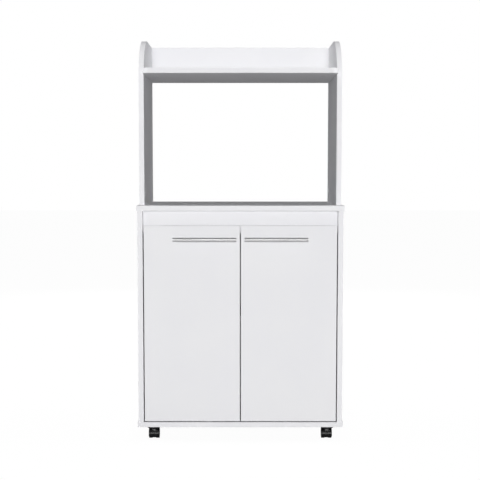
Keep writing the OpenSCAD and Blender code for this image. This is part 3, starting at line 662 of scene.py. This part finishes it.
def screws(node, axis_of, recess=cross_recess):
    """The node's screws with a recess in each head. axis_of gives the way a head looks."""
    obj = merged_copy(node)
    cutters = []
    for low, high in loose_boxes(obj):
        middle = (low + high) / 2
        axis = axis_of(middle)
        reach = Vector([abs(c) for c in axis]).dot(high - low) / 2
        cutters.append(recess(middle + axis * reach, axis))
    cut(obj, join(cutters))
    stand_for(smooth(paint(obj, finish_of(node))), node)


screws("hinge_mount_screws", lambda at: -X if at.x > 0 else X)
for side in SIDES:
    screws(side + "_cup_screws", lambda at: Y)
    screws(side + "_handle_screws", lambda at: Y)
screws("caster_screws", lambda at: -Z)
screws("strip_screws", lambda at: -Z)
screws("bottom_panel_screws", lambda at: -Z, hex_recess)


# ------------------------------------------------------------------ fittings

# Pressed and moulded pieces: the solid's own form, its sharp edges broken by so many mm
BROKEN = {
    "cam_caps": 0.25, "shelf_pins": 0.2, "back_panel_nails": 0.1, "caster_plates": 0.25,
    "left_hinge_cups": 0.15, "right_hinge_cups": 0.15,
    "left_hinge_arms": 0.3, "right_hinge_arms": 0.3,
    "left_hinge_plates": 0.3, "right_hinge_plates": 0.3,
}
for node, radius in BROKEN.items():
    piece = merged_copy(node)
    soften(piece, radius * MM)
    stand_for(smooth(piece), node)

for node in ("cam_locks", "cam_bolts", "dowels", "left_hinge_pins", "right_hinge_pins"):
    stand_for(smooth(merged_copy(node)), node)

# The back panel is lacquered on the face that looks into the cabinet
back = merged_copy("back_panel", whole_faces=False)
back.data.materials.append(HARDBOARD_FACE)
inner_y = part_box("back_panel")[0].y
for face in back.data.polygons:
    if all(abs(back.data.vertices[i].co.y - inner_y) < NEAR for i in face.vertices):
        face.material_index = 1
stand_for(back, "back_panel")

# Bumpers, cast with a domed nose
NOSE_R = 2.2 * MM
bumpers = []
for low, high in solids_of("door_bumpers"):
    bumper = rod("bumper", (low + high) / 2, Y, high.x - low.x, high.y - low.y, sides=48)
    nose = low.y
    round_edges(bumper, lambda a, b: max(a.y, b.y) < nose + NEAR, NOSE_R, segments=5)
    bumpers.append(bumper)
bumpers = join(bumpers)
bumpers.name = "door_bumper_pair"
stand_for(smooth(paint(bumpers, FINISH["bumper_rubber"])), "door_bumpers")


# ------------------------------------------------------------------ casters

TREAD_R = 1.4 * MM       # both edges of a wheel's tread
DISH_R = 0.3 * MM        # the edges of its dish and boss
HOOD_R = 0.5 * MM        # the edges of a caster's housing

# A wheel's face from its tread inwards. Each ring is so far in, and is pushed out by so
# much, in mm: the slope into the dish, the dish's edge, the dish and the hub boss.
WHEEL_FACE = ((2.4, -1.3), (0.6, 0.0), (4.6, 0.0), (0.5, 1.0))


def wheel(node, outward):
    """A twin caster's wheel: a rounded tread, a dished disc and a hub boss."""
    low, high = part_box(node)
    centre, across = (low + high) / 2, high.z - low.z
    obj = rod(node + "_moulding", centre, X, across, high.x - low.x, sides=64)
    face_x = high.x if outward > 0 else low.x
    out = X * outward

    def on_face(middle, normal):
        return normal.dot(out) > 0.9 and abs(middle.x - face_x) < NEAR

    pick_faces(obj, on_face)
    for inset, push in WHEEL_FACE:
        bpy.ops.mesh.inset(thickness=inset * MM)
        bpy.ops.transform.translate(value=out * (push * MM))
    bpy.ops.object.mode_set(mode="OBJECT")
    rim = across / 2 - NEAR

    def on_rim(a, b):
        return (abs(a.x - b.x) < NEAR
                and min((a - centre).yz.length, (b - centre).yz.length) > rim)

    round_edges(obj, on_rim, TREAD_R, segments=4)
    soften(obj, DISH_R, angle=50)
    stand_for(smooth(paint(obj, FINISH["black_plastic"]), angle=40), node)


for end in ENDS:
    for side in SIDES:
        for place in ("outer", "inner"):
            outward = (-1 if side == "left" else 1) * (1 if place == "outer" else -1)
            wheel(f"{end}_{side}_{place}_wheel", outward)
        hood = merged_copy(f"{end}_{side}_housing")
        soften(hood, HOOD_R, angle=40, segments=3)
        stand_for(smooth(hood), f"{end}_{side}_housing")
        axle = merged_copy(f"{end}_{side}_axle")
        stand_for(smooth(axle), f"{end}_{side}_axle")


# ------------------------------------------------------------------ studio

# The camera as it was fitted: its way back from the worktop's front edge and its height in
# metres, its pitch below level in degrees, and its focal length in pixels
CAMERA_X, CAMERA_BACK, CAMERA_Z, CAMERA_PITCH = -0.001, 2.7685, 0.798, 4.31
FOCAL_PIXELS, IMAGE_PIXELS = 963, 480
SENSOR = 36

bpy.ops.object.camera_add(
    location=(CAMERA_X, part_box("worktop")[0].y - CAMERA_BACK, CAMERA_Z),
    rotation=(math.radians(90 - CAMERA_PITCH), 0, 0))
camera = bpy.context.object
camera.data.sensor_width = SENSOR
camera.data.lens = FOCAL_PIXELS / IMAGE_PIXELS * SENSOR
bpy.context.scene.camera = camera


def lamp(name, place, target, width, height, power):
    """A softbox that faces its target. No surface mirrors it."""
    bpy.ops.object.light_add(type="AREA", location=place)
    made = bpy.context.object
    made.name = name
    made.rotation_euler = (Vector(target) - Vector(place)).to_track_quat("-Z", "Y").to_euler()
    made.data.shape = "RECTANGLE"
    made.data.size, made.data.size_y = width, height
    made.data.energy = power
    made.visible_glossy = False


def far_lamp(name, place, tilt, spread, power):
    """A lamp so far off that it lights all heights alike. tilt is its turn about X, where
    90 shines level towards +Y, and spread is how wide it looks, both in degrees."""
    bpy.ops.object.light_add(type="SUN", location=place,
                             rotation=(math.radians(tilt), 0, 0))
    made = bpy.context.object
    made.name = name
    made.data.angle = math.radians(spread)
    made.data.energy = power
    made.visible_glossy = False


# The main light shines from the front, a little downwards. A weaker one shines level from
# behind, and hardly shows from the front.
far_lamp("key_light", (0, -6, 2), tilt=85, spread=9, power=2.24)
far_lamp("rear_light", (0, 6, 1), tilt=-90, spread=2, power=1.5)

# Each softbox has its place, its target, its width and height in metres, and its watts
lamp("upper_left_softbox", (-2.4, 0.15, 2.9), (0, 0.1, 1.1), 1.6, 1.2, 24)
lamp("upper_right_softbox", (2.4, 0.15, 2.9), (0, 0.1, 1.1), 1.6, 1.2, 24)
lamp("rear_softbox", (0, 3.4, 0.87), (0, 0, 0.87), 2.4, 0.3, 26)
lamp("left_softbox", (-3.2, 0.05, 0.60), (0, 0.05, 0.60), 0.5, 1.4, 30)
lamp("right_softbox", (3.2, 0.05, 0.60), (0, 0.05, 0.60), 0.5, 1.4, 30)


def by_ray(tree, shares):
    """A value that differs by what looks: the camera, a mirrored ray or soft light."""
    path = add(tree, "LightPath")
    total = 0.0
    for kind, share in shares.items():
        total = add(tree, "Math", {0: path.outputs[f"Is {kind} Ray"], 1: share, 2: total},
                    operation="MULTIPLY_ADD").outputs[0]
    return total


SEEN_THROUGH = 0.5       # how bright the room is through something clear, where 1 is white
PAPER_SIZE = 30
PAPER_GLOW = 1.03        # the strength of the paper's own glow, where 1 is white
CAMERA_SHARE = 0.94      # how much of what the camera sees of it glows. The rest takes shadow.


def white_paper():
    # White paper, which the camera sees as white but for the cart's shadow. To what mirrors
    # it and to soft light it glows in front of the cart, and hardly under and behind it.
    paper = bpy.data.materials.new("white_paper")
    tree = empty_tree(paper)
    place = add(tree, "SeparateXYZ", {"Vector": add(tree, "TexCoord").outputs["Object"]})
    mirrored = graded(tree, place.outputs["Y"], start=-1.3, end=-0.3, first=0.70, last=0.10)
    glow = add(tree, "Emission", {"Color": (1, 1, 1, 1), "Strength": PAPER_GLOW})
    tone = blend(tree, by_ray(tree, {"Camera": 1.0}), hex_colour("707070"), hex_colour("F0F0F0"))
    matt = add(tree, "BsdfDiffuse", {"Color": tone})
    bounced = graded(tree, place.outputs["Y"], start=-0.45, end=0.05, first=0.30, last=0.05)
    share = by_ray(tree, {"Camera": CAMERA_SHARE, "Glossy": mirrored,
                          "Transmission": SEEN_THROUGH, "Diffuse": bounced})
    mix = add(tree, "MixShader", {"Fac": share})
    tree.links.new(matt.outputs[0], mix.inputs[1])
    tree.links.new(glow.outputs[0], mix.inputs[2])
    add(tree, "OutputMaterial", {"Surface": mix.outputs[0]})
    return paper


bpy.ops.mesh.primitive_plane_add(size=PAPER_SIZE, location=(0, 0, 0))
floor = bpy.context.object
floor.name = "floor"
floor.data.materials.append(white_paper())

WALL_GLOW = 7.5          # how bright the lit wall in front is where something mirrors it
WALL_BEHIND = 0.04       # how much of that is left behind the cart
SOFT_GLOW = 0.15         # how bright the room is to soft light, where 1 is white
GROUND_GREY, ZENITH_GREY = 0.2, 0.03
WALL_BANDS = ((0.04, 0.4), (0.07, 1.0), (0.13, 1.0), (0.18, 0.05))     # height and grey


def studio_world():
    # A white room to the camera. Metal and nylon mirror a lit band of wall in front, dim
    # above the band and behind the cart.
    world = bpy.data.worlds.new("studio")
    tree = empty_tree(world)
    way = add(tree, "SeparateXYZ", {"Vector": add(tree, "TexCoord").outputs["Generated"]})
    bands = add(tree, "ValToRGB", {"Fac": way.outputs["Z"]})
    ramp = bands.color_ramp.elements
    ramp[0].position, ramp[0].color = 0.0, (GROUND_GREY,) * 3 + (1,)
    ramp[1].position, ramp[1].color = 1.0, (ZENITH_GREY,) * 3 + (1,)
    for height, grey in WALL_BANDS:
        ramp.new(height).color = (grey, grey, grey, 1)
    front = graded(tree, way.outputs["Y"], start=-0.1, end=0.6, first=WALL_GLOW,
                   last=WALL_BEHIND * WALL_GLOW)
    mirrored = add(tree, "Math", {0: bands.outputs["Color"], 1: front},
                   operation="MULTIPLY").outputs[0]
    share = by_ray(tree, {"Camera": 1.0, "Glossy": mirrored, "Transmission": SEEN_THROUGH,
                          "Diffuse": SOFT_GLOW})
    sky = add(tree, "Background", {"Color": (1, 1, 1, 1), "Strength": share})
    add(tree, "OutputWorld", {"Surface": sky.outputs[0]})
    return world


bpy.context.scene.world = studio_world()
bpy.context.scene.view_settings.view_transform = "Standard"
